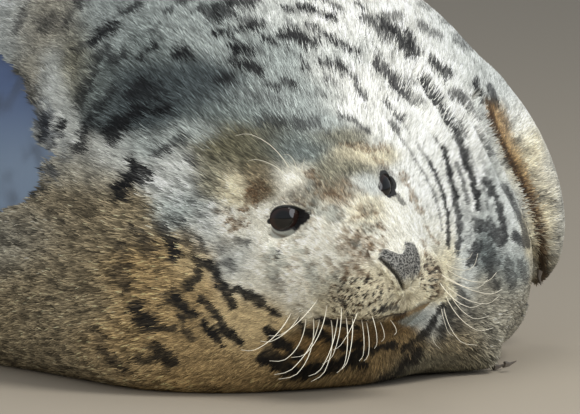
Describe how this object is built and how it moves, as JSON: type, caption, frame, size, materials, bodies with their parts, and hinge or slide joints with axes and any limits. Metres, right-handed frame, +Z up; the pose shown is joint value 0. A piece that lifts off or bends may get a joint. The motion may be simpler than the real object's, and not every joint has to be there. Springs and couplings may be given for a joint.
{
  "type": "grey seal pup model",
  "caption": "Life-size still model of a moulted grey seal pup lying on its right side and belly, head drawn into its thick neck and turned to look forward.",
  "frame": {"origin": "middle of the underside of the bounding box, on the floor", "axes": "+Y from the nose end towards the hind flippers, +X to the pup's left, +Z up"},
  "size_m": [0.4668, 1.1516, 0.3169],
  "materials": {
    "coat": "short flat fur, pale with dark blotches",
    "nose_skin": "bare pebbled skin",
    "eye": "wet, nearly black",
    "claw": "dark horn, satin"
  },
  "bodies": {
    "root": {"eye_left": "eye", "eye_right": "eye", "nose": "nose_skin", "head": "coat", "neck": "coat", "trunk": "coat", "hindquarters": "coat", "tail": "coat", "fore_flipper_left": "coat", "fore_flipper_right": "coat", "hind_flipper_left": "coat", "hind_flipper_right": "coat", "fore_claw_left_1": "claw", "fore_claw_left_2": "claw", "fore_claw_left_3": "claw", "fore_claw_left_4": "claw", "fore_claw_left_5": "claw", "fore_claw_right_1": "claw", "fore_claw_right_2": "claw", "fore_claw_right_3": "claw", "fore_claw_right_4": "claw", "fore_claw_right_5": "claw", "hind_claw_left_1": "claw", "hind_claw_left_2": "claw", "hind_claw_left_3": "claw", "hind_claw_left_4": "claw", "hind_claw_left_5": "claw", "hind_claw_right_1": "claw", "hind_claw_right_2": "claw", "hind_claw_right_3": "claw", "hind_claw_right_4": "claw", "hind_claw_right_5": "claw"}
  },
  "joints": []
}
